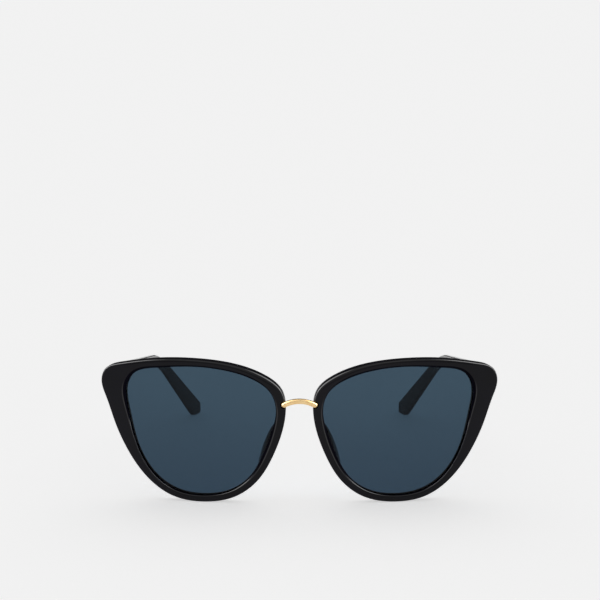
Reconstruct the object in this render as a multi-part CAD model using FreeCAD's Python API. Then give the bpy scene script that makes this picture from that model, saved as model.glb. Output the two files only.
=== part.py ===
"""Cat eye sunglasses: two curved plastic rims on a wire bridge, with folding temples.

The front stands upright on the rims' lowest points and faces -Y, and the temples run back
along +Y to tips that touch the same level. Left is the wearer's left, which is +X. Sizes
are in millimetres. The left side is built first, and the right side is its mirror image.
"""

import FreeCAD, Part
import math
import os
from FreeCAD import Vector

# Front: both rims are cut from a sheet bent to one upright cylinder.
FACE_RADIUS = 300.0
RIM_DEPTH = 4.0
FRONT_EDGE_ROUND = 0.5
BACK_EDGE_ROUND = 0.3

# Outlines on the front face, as (distance from the centre plane, height), from the nose
# side over the top to the wing corner and back along the bottom.
RIM_OUTLINE = [
    (5.0, 36.5), (6.3, 42.0), (12.5, 47.5), (24.0, 51.7), (38.0, 53.4), (53.0, 53.1),
    (66.0, 51.1), (71.5, 48.7), (72.9, 45.0), (71.2, 38.0), (68.2, 29.0), (63.9, 19.3),
    (56.4, 8.6), (46.5, 1.7), (35.0, 0.0), (24.0, 2.1), (15.6, 8.2), (9.6, 18.0), (5.9, 28.5),
]
LENS_OPENING = [
    (8.6, 35.0), (10.5, 41.4), (16.5, 46.2), (26.5, 49.5), (39.5, 50.8), (52.5, 50.0),
    (60.6, 47.8), (63.9, 43.4), (63.5, 33.5), (60.2, 20.2), (54.5, 10.3), (46.0, 4.3),
    (35.0, 2.5), (25.2, 4.5), (17.6, 10.6), (13.0, 19.4), (10.0, 27.5),
]

# Lens, held by a groove that runs round the inside of the rim.
LENS_FRONT_DEPTH = 1.1
LENS_THICKNESS = 1.8
GROOVE_DEPTH = 0.9
LENS_EDGE_GAP = 0.05

# Bridge: one arched round wire, with its ends let into the rims' front faces.
BRIDGE_WIRE_RADIUS = 1.0
BRIDGE_HALF_SPAN = 5.6
BRIDGE_END_HEIGHT = 37.2
BRIDGE_RISE = 1.4
BRIDGE_AXIS_Y = 0.1
BRIDGE_RECESS_GAP = 0.12
BRIDGE_STUD_RADIUS = 0.5
BRIDGE_STUD_LENGTH = 2.6

# Nose pads: flattened ovals seated on the back of the rims beside the nose.
PAD_HALF_THICKNESS = 1.5
PAD_HALF_DEPTH = 4.6
PAD_HALF_LENGTH = 10.0
PAD_CENTRE = Vector(11.4, 6.0, 20.0)
PAD_LEAN_DEG = 20.0
PAD_SPLAY_DEG = 16.0

# Hinge: three knuckles on an upright screw behind each wing.
PIVOT_X = 65.9
PIVOT_Y = 13.1
KNUCKLE_RADIUS = 1.1
KNUCKLE_BOTTOM = 44.4
KNUCKLE_HEIGHTS = (1.4, 1.6, 1.4)
KNUCKLE_GAP = 0.1
SCREW_RADIUS = 0.55
SCREW_RUNNING_GAP = 0.04
SCREW_HEAD_RADIUS = 0.95
SCREW_HEAD_HEIGHT = 0.5
SLOT_WIDTH = 0.3
SLOT_DEPTH = 0.25

FRONT_LEAF_X = (64.9, 66.9)
FRONT_LEAF_Z = (39.4, 49.0)
FRONT_LEAF_SUNK = 0.5
FRONT_LEAF_PROUD = 0.35
FRONT_FIXING_HEIGHTS = (40.6, 42.9)

TEMPLE_LEAF_INNER = 0.8
TEMPLE_LEAF_THICKNESS = 0.9
TEMPLE_LEAF_START = 1.4
TEMPLE_LEAF_END = 12.0
TEMPLE_LEAF_HALF_HEIGHT = 1.7
TEMPLE_FIXING_PLACES = (6.0, 9.6)

FIXING_HEAD_RADIUS = 0.7
FIXING_HEAD_HEIGHT = 0.3
FIXING_SHANK_RADIUS = 0.4
FIXING_SHANK_LENGTH = 1.9

# Temple: straight to the ear bend, then down and inwards to a broad flat tip.
BUTT_Y = 12.0
BUTT_GAP = 0.3
EAR_Y = 96.0
TIP_Y = 138.5
HINGE_CENTRE = (68.9, 46.9)
EAR_CENTRE = (59.1, 34.0)
TIP_DROP_DEG = 38.8
TIP_TOE_IN_DEG = 18.8
TIP_FLAT_Y = 133.2
HALF_HEIGHTS = (2.6, 1.45, 3.6)
HALF_THICKNESSES = (1.6, 1.15, 1.35)
EAR_BEND_RADIUS = 42.0
TIP_ROUNDS = (1.2, 1.6, 4.0)

# Core wire inside each temple.
CORE_START_Y = 27.0
CORE_END_Y = 126.0
CORE_HALF_HEIGHT = 0.65
CORE_HALF_THICKNESS = 0.45

UP = Vector(0, 0, 1)
BACK = Vector(0, 1, 0)
ACROSS = Vector(1, 0, 0)
FACE_AXIS = Vector(0, FACE_RADIUS, 0)


# Curved front

def face_shell(near, far):
    """The curved sheet from depth near to depth far behind the front face."""
    base = FACE_AXIS - UP * 5
    outer = Part.makeCylinder(FACE_RADIUS - near, 70, base, UP)
    inner = Part.makeCylinder(FACE_RADIUS - far, 70, base, UP)
    return outer.cut(inner)


def back_face_y(x, depth=RIM_DEPTH):
    """Y of the surface at that depth behind the front face, at distance x."""
    return FACE_RADIUS - math.sqrt((FACE_RADIUS - depth) ** 2 - x * x)


def radial_prism(outline):
    """A solid whose section at the front face is outline and whose walls run to the face's axis."""
    near_y = -4.0
    far_y = 22.0
    points = []
    for x, z in outline:
        bearing = x / math.sqrt(FACE_RADIUS ** 2 - x * x)
        points.append(Vector(bearing * (FACE_RADIUS - near_y), near_y, z))
    near = Part.BSplineCurve()
    near.interpolate(Points=points, PeriodicFlag=True)
    far = near.copy()
    shrink = (FACE_RADIUS - far_y) / (FACE_RADIUS - near_y)
    for number, pole in enumerate(near.getPoles(), 1):
        far.setPole(number, Vector(pole.x * shrink, far_y, pole.z))
    wires = [Part.Wire([near.toShape()]), Part.Wire([far.toShape()])]
    return Part.makeLoft(wires, True, True)


def grown(outline, distance):
    """The closed outline with each point moved outwards along the local normal."""
    count = len(outline)
    moved = []
    for i in range(count):
        ahead = outline[(i + 1) % count]
        behind = outline[i - 1]
        dx = ahead[0] - behind[0]
        dz = ahead[1] - behind[1]
        length = math.hypot(dx, dz)
        moved.append((outline[i][0] - dz / length * distance, outline[i][1] + dx / length * distance))
    return moved


def loop_edges(shape, depth):
    """The edges of the rim that lie on the surface at that depth behind the front face."""
    found = []
    for edge in shape.Edges:
        points = edge.discretize(7)
        errors = [abs((p - FACE_AXIS - UP * p.z).Length - (FACE_RADIUS - depth)) for p in points]
        if max(errors) < 0.01 and edge.Length > 20:
            found.append(edge)
    return found


def make_rim():
    """A plastic rim with its lens groove, its bridge recess and its hinge recess."""
    blank = radial_prism(RIM_OUTLINE).common(face_shell(0, RIM_DEPTH))
    ring = blank.cut(radial_prism(LENS_OPENING))
    ring = ring.makeFillet(FRONT_EDGE_ROUND, loop_edges(ring, 0))
    ring = ring.makeFillet(BACK_EDGE_ROUND, loop_edges(ring, RIM_DEPTH))
    groove = radial_prism(grown(LENS_OPENING, GROOVE_DEPTH))
    groove = groove.common(face_shell(LENS_FRONT_DEPTH, LENS_FRONT_DEPTH + LENS_THICKNESS))
    ring = ring.cut(groove)
    ring = ring.cut(bridge_wire(BRIDGE_RECESS_GAP))
    ring = ring.cut(bridge_stud())
    ring = ring.cut(front_leaf_plate())
    for screw in front_leaf_screws():
        ring = ring.cut(screw)
    return ring.Solids[0]


def make_lens():
    """A curved lens that fills the groove, less a small gap at its edge."""
    blank = radial_prism(grown(LENS_OPENING, GROOVE_DEPTH - LENS_EDGE_GAP))
    return blank.common(face_shell(LENS_FRONT_DEPTH, LENS_FRONT_DEPTH + LENS_THICKNESS)).Solids[0]


# Bridge and nose pads

def bridge_wire(extra=0.0):
    """The arched wire with round ends, its radius enlarged by extra."""
    radius = BRIDGE_WIRE_RADIUS + extra
    start = Vector(-BRIDGE_HALF_SPAN, BRIDGE_AXIS_Y, BRIDGE_END_HEIGHT)
    crown = Vector(0, BRIDGE_AXIS_Y, BRIDGE_END_HEIGHT + BRIDGE_RISE)
    end = Vector(BRIDGE_HALF_SPAN, BRIDGE_AXIS_Y, BRIDGE_END_HEIGHT)
    arc = Part.Arc(start, crown, end).toShape()
    section = Part.Wire([Part.makeCircle(radius, start, arc.tangentAt(arc.FirstParameter))])
    bar = Part.Wire([arc]).makePipeShell([section], True, True)
    bar = bar.fuse(Part.makeSphere(radius, start))
    return bar.fuse(Part.makeSphere(radius, end)).removeSplitter()


def bridge_stud():
    """The stud that runs back from the left end of the bridge into the rim."""
    base = Vector(BRIDGE_HALF_SPAN, BRIDGE_AXIS_Y, BRIDGE_END_HEIGHT)
    return Part.makeCylinder(BRIDGE_STUD_RADIUS, BRIDGE_STUD_LENGTH, base, BACK)


def make_bridge():
    """The bridge wire with one stud at each end."""
    stud = bridge_stud()
    return bridge_wire().fuse(stud).fuse(mirrored(stud)).removeSplitter().Solids[0]


def make_nose_pad():
    """A flattened oval, leaning to the nose at its top and splayed open at its back."""
    oval = FreeCAD.Matrix()
    oval.scale(PAD_HALF_THICKNESS, PAD_HALF_DEPTH, PAD_HALF_LENGTH)
    pad = Part.makeSphere(1.0).transformGeometry(oval)
    pad.rotate(Vector(0, 0, 0), UP, -PAD_SPLAY_DEG)
    pad.rotate(Vector(0, 0, 0), BACK, -PAD_LEAN_DEG)
    pad.translate(PAD_CENTRE)
    return pad.cut(face_shell(-20, RIM_DEPTH)).Solids[0]


# Hinge

def knuckle_levels():
    """Lowest and highest level of each knuckle, from the bottom up."""
    levels = []
    bottom = KNUCKLE_BOTTOM
    for height in KNUCKLE_HEIGHTS:
        levels.append((bottom, bottom + height))
        bottom += height + KNUCKLE_GAP
    return levels


def slab(x_range, y_range, z_range):
    """An upright box between those limits."""
    size = (x_range[1] - x_range[0], y_range[1] - y_range[0], z_range[1] - z_range[0])
    return Part.makeBox(*size, Vector(x_range[0], y_range[0], z_range[0]))


def barrel(level, web):
    """A knuckle at that level, joined to its web."""
    base = Vector(PIVOT_X, PIVOT_Y, level[0])
    height = level[1] - level[0]
    return Part.makeCylinder(KNUCKLE_RADIUS, height, base, UP).fuse(web)


def pivot_hole(radius, level):
    """The screw hole through a knuckle."""
    base = Vector(PIVOT_X, PIVOT_Y, level[0])
    return Part.makeCylinder(radius, level[1] - level[0], base, UP)


def fixing_screw(seat, inward):
    """A small flat-headed screw whose head stands on seat and whose shank runs inward."""
    head = Part.makeCylinder(FIXING_HEAD_RADIUS, FIXING_HEAD_HEIGHT, seat, inward * -1)
    shank = Part.makeCylinder(FIXING_SHANK_RADIUS, FIXING_SHANK_LENGTH, seat, inward)
    slot_base = seat - inward * FIXING_HEAD_HEIGHT
    slot = Part.makeBox(4, 4, SLOT_WIDTH, Vector(-2, -2, -SLOT_WIDTH / 2))
    slot.translate(slot_base - inward * (2 - SLOT_DEPTH / 2))
    return head.fuse(shank).cut(slot).Solids[0]


def front_leaf_plate():
    """The front leaf's curved plate, let into the back of the wing."""
    plate = face_shell(RIM_DEPTH - FRONT_LEAF_SUNK, RIM_DEPTH + FRONT_LEAF_PROUD)
    return plate.common(slab(FRONT_LEAF_X, (0, 30), FRONT_LEAF_Z))


def front_leaf_screws():
    """The two screws that hold the front leaf, driven from behind."""
    seat_radius = FACE_RADIUS - RIM_DEPTH - FRONT_LEAF_PROUD
    bearing = math.asin((FRONT_LEAF_X[0] + FRONT_LEAF_X[1]) / 2 / seat_radius)
    radial = Vector(math.sin(bearing), -math.cos(bearing), 0)
    seat = FACE_AXIS + radial * seat_radius
    return [fixing_screw(seat + UP * z, radial) for z in FRONT_FIXING_HEIGHTS]


def make_front_leaf():
    """The metal leaf on the wing, with the upper and lower knuckles."""
    leaf = front_leaf_plate()
    levels = knuckle_levels()
    for level in (levels[0], levels[2]):
        plate_y = back_face_y(PIVOT_X, RIM_DEPTH + FRONT_LEAF_PROUD / 2)
        web = slab((PIVOT_X - KNUCKLE_RADIUS, PIVOT_X), (plate_y, PIVOT_Y), level)
        leaf = leaf.fuse(barrel(level, web))
    leaf = leaf.cut(pivot_hole(SCREW_RADIUS, levels[0]))
    leaf = leaf.cut(pivot_hole(SCREW_RADIUS, levels[2]))
    for screw in front_leaf_screws():
        leaf = leaf.cut(screw)
    return leaf.removeSplitter().Solids[0]


def make_hinge_screw():
    """The slotted screw that the temple turns on."""
    levels = knuckle_levels()
    base = Vector(PIVOT_X, PIVOT_Y, levels[0][0])
    shank = Part.makeCylinder(SCREW_RADIUS, levels[2][1] - levels[0][0], base, UP)
    top = Vector(PIVOT_X, PIVOT_Y, levels[2][1])
    head = Part.makeCylinder(SCREW_HEAD_RADIUS, SCREW_HEAD_HEIGHT, top, UP)
    slot = Part.makeBox(4, SLOT_WIDTH, SLOT_DEPTH, Vector(-2, -SLOT_WIDTH / 2, 0))
    slot.translate(top + UP * (SCREW_HEAD_HEIGHT - SLOT_DEPTH))
    return shank.fuse(head).cut(slot).Solids[0]


def toe_in_deg():
    """How far the straight part of the temple turns towards the head."""
    return math.degrees(math.atan2(HINGE_CENTRE[0] - EAR_CENTRE[0], EAR_Y - BUTT_Y))


def along_temple(shape):
    """shape, drawn straight back from the pivot, turned to lie along the temple."""
    turned = shape.copy()
    turned.rotate(Vector(PIVOT_X, PIVOT_Y, 0), UP, toe_in_deg())
    return turned


def temple_drop(y):
    """Height of the temple's centre line at y, on its straight part."""
    share = (y - BUTT_Y) / (EAR_Y - BUTT_Y)
    return HINGE_CENTRE[1] + (EAR_CENTRE[1] - HINGE_CENTRE[1]) * share


def temple_leaf_plate():
    """The temple leaf's flat plate, let into the inner face of the temple."""
    x = PIVOT_X + TEMPLE_LEAF_INNER
    corners = []
    for reach, side in ((0, 1), (1, 1), (1, -1), (0, -1)):
        y = PIVOT_Y + (TEMPLE_LEAF_START, TEMPLE_LEAF_END)[reach]
        corners.append(Vector(x, y, temple_drop(y) + side * TEMPLE_LEAF_HALF_HEIGHT))
    radii = (0, TEMPLE_LEAF_HALF_HEIGHT * 0.9, TEMPLE_LEAF_HALF_HEIGHT * 0.9, 0)
    face = Part.Face(rounded_wire(corners, radii))
    return along_temple(face.extrude(ACROSS * TEMPLE_LEAF_THICKNESS))


def temple_leaf_screws():
    """The two screws that hold the temple leaf, driven from the inner side."""
    screws = []
    for reach in TEMPLE_FIXING_PLACES:
        y = PIVOT_Y + reach
        seat = Vector(PIVOT_X + TEMPLE_LEAF_INNER, y, temple_drop(y))
        screws.append(along_temple(fixing_screw(seat, ACROSS)))
    return screws


def make_temple_leaf():
    """The metal leaf on the temple, with the middle knuckle."""
    level = knuckle_levels()[1]
    web_x = (PIVOT_X + TEMPLE_LEAF_INNER - 0.35, PIVOT_X + KNUCKLE_RADIUS)
    web = slab(web_x, (PIVOT_Y, PIVOT_Y + TEMPLE_LEAF_START + 0.5), level)
    leaf = temple_leaf_plate().fuse(along_temple(barrel(level, web)))
    leaf = leaf.cut(pivot_hole(SCREW_RADIUS + SCREW_RUNNING_GAP, level))
    for screw in temple_leaf_screws():
        leaf = leaf.cut(screw)
    return leaf.removeSplitter().Solids[0]


# Temple

def rounded_wire(corners, radii):
    """A closed wire through the corners, each rounded to its radius. A radius of 0 stays sharp."""
    count = len(corners)
    ends = []
    arcs = []
    for i in range(count):
        corner = corners[i]
        to_last = (corners[i - 1] - corner).normalize()
        to_next = (corners[(i + 1) % count] - corner).normalize()
        if radii[i] == 0:
            ends.append((corner, corner))
            arcs.append(None)
            continue
        half = to_last.getAngle(to_next) / 2
        reach = radii[i] / math.tan(half)
        bisector = (to_last + to_next).normalize()
        middle = corner + bisector * (radii[i] / math.sin(half) - radii[i])
        first = corner + to_last * reach
        second = corner + to_next * reach
        ends.append((first, second))
        arcs.append(Part.Arc(first, middle, second).toShape())
    edges = []
    for i in range(count):
        if arcs[i]:
            edges.append(arcs[i])
        start = ends[i][1]
        stop = ends[(i + 1) % count][0]
        if (stop - start).Length > 1e-6:
            edges.append(Part.LineSegment(start, stop).toShape())
    return Part.Wire(Part.__sortEdges__(edges))


def strip(path, halves):
    """Both sides of a bent strip as corner lists: path has three (y, w) points, halves their half widths."""
    sides = []
    for side in (1, -1):
        lines = []
        for i in (0, 1):
            dy = path[i + 1][0] - path[i][0]
            dw = path[i + 1][1] - path[i][1]
            length = math.hypot(dy, dw)
            start = (path[i][0] - dw / length * halves[i] * side, path[i][1] + dy / length * halves[i] * side)
            stop = (
                path[i + 1][0] - dw / length * halves[i + 1] * side,
                path[i + 1][1] + dy / length * halves[i + 1] * side,
            )
            lines.append((start, stop))
        sides.append([lines[0][0], crossing(*lines), lines[1][1]])
    return sides


def crossing(first, second):
    """The point where two lines, each given by two points, cross."""
    (ay, aw), (by, bw) = first
    (cy, cw), (dy, dw) = second
    slope_first = (bw - aw) / (by - ay)
    slope_second = (dw - cw) / (dy - cy)
    y = (cw - aw + slope_first * ay - slope_second * cy) / (slope_first - slope_second)
    return (y, aw + slope_first * (y - ay))


def at_y(line, y):
    """The value at y of a line given by two points."""
    (ay, aw), (by, bw) = line
    return aw + (bw - aw) * (y - ay) / (by - ay)


def temple_paths():
    """The temple's centre line seen from the side and from above, each as three (y, w) points."""
    run = TIP_Y - EAR_Y
    tip_height = EAR_CENTRE[1] - run * math.tan(math.radians(TIP_DROP_DEG))
    tip_side = EAR_CENTRE[0] - run * math.tan(math.radians(TIP_TOE_IN_DEG))
    side_path = [(BUTT_Y, HINGE_CENTRE[1]), (EAR_Y, EAR_CENTRE[1]), (TIP_Y, tip_height)]
    plan_path = [(BUTT_Y, HINGE_CENTRE[0]), (EAR_Y, EAR_CENTRE[0]), (TIP_Y, tip_side)]
    return side_path, plan_path


def bent_bar(side_corners, side_radii, plan_corners, plan_radii):
    """The solid that has one outline seen from the side and the other seen from above."""
    side = Part.Face(rounded_wire([Vector(0, y, z) for y, z in side_corners], side_radii))
    plan = Part.Face(rounded_wire([Vector(x, y, -20) for y, x in plan_corners], plan_radii))
    return side.extrude(ACROSS * 90).common(plan.extrude(UP * 90)).Solids[0]


def temple_blank():
    """The whole temple before its recesses are cut."""
    start_y = BUTT_Y - 3
    side_path, plan_path = temple_paths()
    top, bottom = strip(side_path, HALF_HEIGHTS)
    outer, inner = strip(plan_path, HALF_THICKNESSES)
    side_corners = [
        (start_y, at_y(top[:2], start_y)),
        top[1],
        (TIP_Y, at_y(top[1:], TIP_Y)),
        (TIP_Y, 0),
        (TIP_FLAT_Y, 0),
        bottom[1],
        (start_y, at_y(bottom[:2], start_y)),
    ]
    side_radii = (0, EAR_BEND_RADIUS, *TIP_ROUNDS, EAR_BEND_RADIUS, 0)
    plan_corners = [
        (start_y, at_y(outer[:2], start_y)),
        outer[1],
        (TIP_Y, at_y(outer[1:], TIP_Y)),
        (TIP_Y, at_y(inner[1:], TIP_Y)),
        inner[1],
        (start_y, at_y(inner[:2], start_y)),
    ]
    plan_radii = (0, EAR_BEND_RADIUS, 0, 0, EAR_BEND_RADIUS, 0)
    blank = bent_bar(side_corners, side_radii, plan_corners, plan_radii)
    return blank.cut(face_shell(-20, RIM_DEPTH + BUTT_GAP)).Solids[0]


def make_core():
    """The core wire, a flat strip along the middle of the temple."""
    side_path, plan_path = temple_paths()
    top, bottom = strip(side_path, (CORE_HALF_HEIGHT,) * 3)
    outer, inner = strip(plan_path, (CORE_HALF_THICKNESS,) * 3)
    outlines = []
    for first, second in ((top, bottom), (outer, inner)):
        outlines.append([
            (CORE_START_Y, at_y(first[:2], CORE_START_Y)),
            first[1],
            (CORE_END_Y, at_y(first[1:], CORE_END_Y)),
            (CORE_END_Y, at_y(second[1:], CORE_END_Y)),
            second[1],
            (CORE_START_Y, at_y(second[:2], CORE_START_Y)),
        ])
    radii = (0, EAR_BEND_RADIUS, 0, 0, EAR_BEND_RADIUS, 0)
    return bent_bar(outlines[0], radii, outlines[1], radii)


def make_temple():
    """A plastic temple with its leaf recess and the channel of its core wire."""
    temple = temple_blank().cut(temple_leaf_plate())
    for screw in temple_leaf_screws():
        temple = temple.cut(screw)
    return temple.cut(make_core()).Solids[0]


# Assembly

def mirrored(shape):
    """The same shape on the wearer's right side."""
    return shape.mirror(Vector(0, 0, 0), ACROSS)


def side_pieces():
    """Every piece of the left side by name, each as a list of solids."""
    return {
        "rim": [make_rim()],
        "lens": [make_lens()],
        "nose_pad": [make_nose_pad()],
        "hinge_front_leaf": [make_front_leaf()],
        "hinge_front_leaf_screws": front_leaf_screws(),
        "hinge_screw": [make_hinge_screw()],
        "hinge_temple_leaf": [make_temple_leaf()],
        "hinge_temple_leaf_screws": temple_leaf_screws(),
        "temple": [make_temple()],
        "temple_core": [make_core()],
    }


def main():
    """Builds every piece, moves the origin below the middle of the whole and writes the files."""
    pieces = {"bridge": [make_bridge()]}
    for name, solids in side_pieces().items():
        pieces[name + "_left"] = solids
        pieces[name + "_right"] = [mirrored(solid) for solid in solids]
    whole = Part.makeCompound([solid for solids in pieces.values() for solid in solids])
    box = whole.optimalBoundingBox(True, False)
    shift = Vector(0, -(box.YMin + box.YMax) / 2, 0)
    print("lengths", box.XLength, box.YLength, box.ZLength, "moved by", shift)
    os.makedirs("parts", exist_ok=True)
    for name, solids in pieces.items():
        shape = solids[0] if len(solids) == 1 else Part.makeCompound(solids)
        shape.translate(shift)
        print(name, shape.isValid(), len(shape.Solids), round(shape.Volume, 3))
        shape.exportStep(f"parts/{name}.step")


main()
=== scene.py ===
"""Cat eye sunglasses: polished black rims on a gold wire bridge, tinted lenses, folding temples.

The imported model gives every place. The front of the rims is a sheet bent to one upright
cylinder, so each outline is drawn on that sheet as (distance from the centre plane, height)
and laid at a depth behind the front face. Lengths are metres; MM turns millimetres into them.
"""

import logging
import math
from dataclasses import dataclass
from enum import Enum
from typing import Any, Sequence

import bpy
import numpy as np
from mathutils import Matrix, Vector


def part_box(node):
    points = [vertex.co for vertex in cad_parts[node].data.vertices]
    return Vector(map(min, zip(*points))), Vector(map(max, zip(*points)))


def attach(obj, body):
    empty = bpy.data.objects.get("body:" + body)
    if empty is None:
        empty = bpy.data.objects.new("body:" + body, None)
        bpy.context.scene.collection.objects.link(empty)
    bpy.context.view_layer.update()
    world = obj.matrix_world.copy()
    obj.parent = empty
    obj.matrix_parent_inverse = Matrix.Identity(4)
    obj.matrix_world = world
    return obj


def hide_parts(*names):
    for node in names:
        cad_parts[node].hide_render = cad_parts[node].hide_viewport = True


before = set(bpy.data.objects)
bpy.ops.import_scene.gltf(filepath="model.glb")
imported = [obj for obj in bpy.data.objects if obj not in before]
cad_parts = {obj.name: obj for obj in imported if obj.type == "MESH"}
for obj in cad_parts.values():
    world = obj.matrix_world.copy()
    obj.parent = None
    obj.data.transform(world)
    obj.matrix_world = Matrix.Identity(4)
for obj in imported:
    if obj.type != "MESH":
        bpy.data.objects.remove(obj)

log = logging.getLogger("sunglasses")

MM = 0.001
FULL_TURN = 2 * math.pi
QUARTER = 0.5 * math.pi
FRONT_BODY = "front"
WHITE = (1.0, 1.0, 1.0, 1.0)

Array = np.ndarray
Socket = bpy.types.NodeSocket
Material = bpy.types.Material
Colour = tuple[float, float, float]
Place = tuple[float, float]


class Side(Enum):
    """The wearer's left and right: the sign of X and the ending of the names."""

    LEFT = 1
    RIGHT = -1

    @property
    def tag(self) -> str:
        """The ending that the side's nodes and pieces have."""
        return self.name.lower()


# ---------------------------------------------------------------- shader maths


class Value:
    """A number that varies over a surface. Its operators add Math nodes to the graph."""

    def __init__(self, graph: "Graph", socket: Socket) -> None:
        """Wraps the output socket that carries the number."""
        self.graph = graph
        self.socket = socket

    def __add__(self, other: "Value | float") -> "Value":
        """Sum."""
        return self.graph.math("ADD", self, other)

    def __radd__(self, other: float) -> "Value":
        """Sum with a plain number first."""
        return self.graph.math("ADD", other, self)

    def __sub__(self, other: "Value | float") -> "Value":
        """Difference."""
        return self.graph.math("SUBTRACT", self, other)

    def __rsub__(self, other: float) -> "Value":
        """Difference with a plain number first."""
        return self.graph.math("SUBTRACT", other, self)

    def __mul__(self, other: "Value | float") -> "Value":
        """Product."""
        return self.graph.math("MULTIPLY", self, other)

    def remapped(self, low: float, high: float, to_low: float = 0.0, to_high: float = 1.0) -> "Value":
        """The value carried softly from one range to another, and held at both ends."""
        inputs = {"Value": self, "From Min": low, "From Max": high, "To Min": to_low, "To Max": to_high}
        return self.graph.value("MapRange", inputs, "Result", interpolation_type="SMOOTHSTEP")


class Graph:
    """A node tree that materials and the world are written into."""

    def __init__(self, tree: bpy.types.NodeTree) -> None:
        """Starts from an empty tree."""
        self.tree = tree
        tree.nodes.clear()

    def node(self, kind: str, inputs: dict[Any, Any] | None = None, **settings: Any) -> bpy.types.Node:
        """Adds a node, sets its settings, then its sockets.

        Args:
            kind: The end of the node's type name, after "ShaderNode".
            inputs: Values or links by socket name or number.
            settings: Properties of the node.

        Returns:
            The node.
        """
        made = self.tree.nodes.new("ShaderNode" + kind)
        for name, setting in settings.items():
            setattr(made, name, setting)
        for name, given in (inputs or {}).items():
            given = given.socket if isinstance(given, Value) else given
            if isinstance(given, Socket):
                self.tree.links.new(given, made.inputs[name])
            else:
                made.inputs[name].default_value = given
        return made

    def value(self, kind: str, inputs: dict[Any, Any], output: Any = 0, **settings: Any) -> Value:
        """Adds a node and wraps one of its outputs as a number."""
        return Value(self, self.node(kind, inputs, **settings).outputs[output])

    def math(self, operation: str, first: Value | float, second: Value | float) -> Value:
        """Adds a Math node."""
        return self.value("Math", {0: first, 1: second}, operation=operation)

    def mix_colour(self, factor: Value, first: Any, second: Any) -> Socket:
        """Blends two colours or colour sockets: factor 0 gives the first, and 1 the second."""
        ends = [(*end, 1.0) if isinstance(end, tuple) else end for end in (first, second)]
        return self.node("Mix", {0: factor, 6: ends[0], 7: ends[1]}, data_type="RGBA").outputs[2]

    def mix_shader(self, factor: Socket, first: Socket, second: Socket) -> Socket:
        """Shows the first shader where factor is 0, and the second where it is 1."""
        return self.node("MixShader", {0: factor, 1: first, 2: second}).outputs[0]

    def principled(self, inputs: dict[str, Any]) -> Socket:
        """Adds a Principled shader."""
        return self.node("BsdfPrincipled", inputs).outputs[0]

    def stretched(self, where: Socket, scale: Colour) -> Socket:
        """Coordinates scaled by a different amount along each axis."""
        return self.node("Mapping", {"Vector": where, "Scale": scale}).outputs[0]

    def noise(self, where: Socket, size: float, detail: float = 2.0) -> Value:
        """Soft noise from 0 to 1, with blotches of the given size and so many finer layers."""
        return self.value("TexNoise", {"Vector": where, "Scale": 1.0 / size, "Detail": detail})

    def scratches(self, where: Socket, size: float, share: float) -> Value:
        """Fine hairlines that wander, as rubbing leaves them.

        Args:
            where: The coordinates.
            size: Distance between neighbouring lines.
            share: How much of the surface they cover.

        Returns:
            1 on a hairline and 0 off it.
        """
        bent = self.noise(where, size * 6.0, 3.0)
        lines = self.noise(self.stretched(where, (1.0, 0.12, 1.0)), size, 1.0)
        ridge = self.math("ABSOLUTE", lines + bent * 0.5 - 0.75, 0.0)
        return ridge.remapped(0.0, share, 1.0, 0.0)

    def attribute(self, name: str) -> Value:
        """A number stored on the mesh's points."""
        return self.value("Attribute", {}, "Fac", attribute_name=name)

    def bump(self, height: Value, depth: float, **under: Socket) -> Socket:
        """A normal tilted by a height whose 1 stands for depth; Normal is what it lies over."""
        return self.node("Bump", {"Height": height, "Distance": depth, "Strength": 1.0, **under}).outputs[0]


# ---------------------------------------------------------------- finishes


@dataclass(frozen=True)
class Finish:
    """A kind of material, with the name that it gets."""

    name: str

    def shader(self, g: Graph, where: Socket) -> Socket:
        """The finish's shader at the object's own coordinates, which are the row frame."""
        raise NotImplementedError

    def build(self) -> Material:
        """The material with the finish's shader.

        Returns:
            The material.
        """
        material = bpy.data.materials.new(self.name)
        material.use_nodes = True
        g = Graph(material.node_tree)
        g.node("OutputMaterial", {"Surface": self.shader(g, g.node("TexCoord").outputs["Object"])})
        return material


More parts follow.
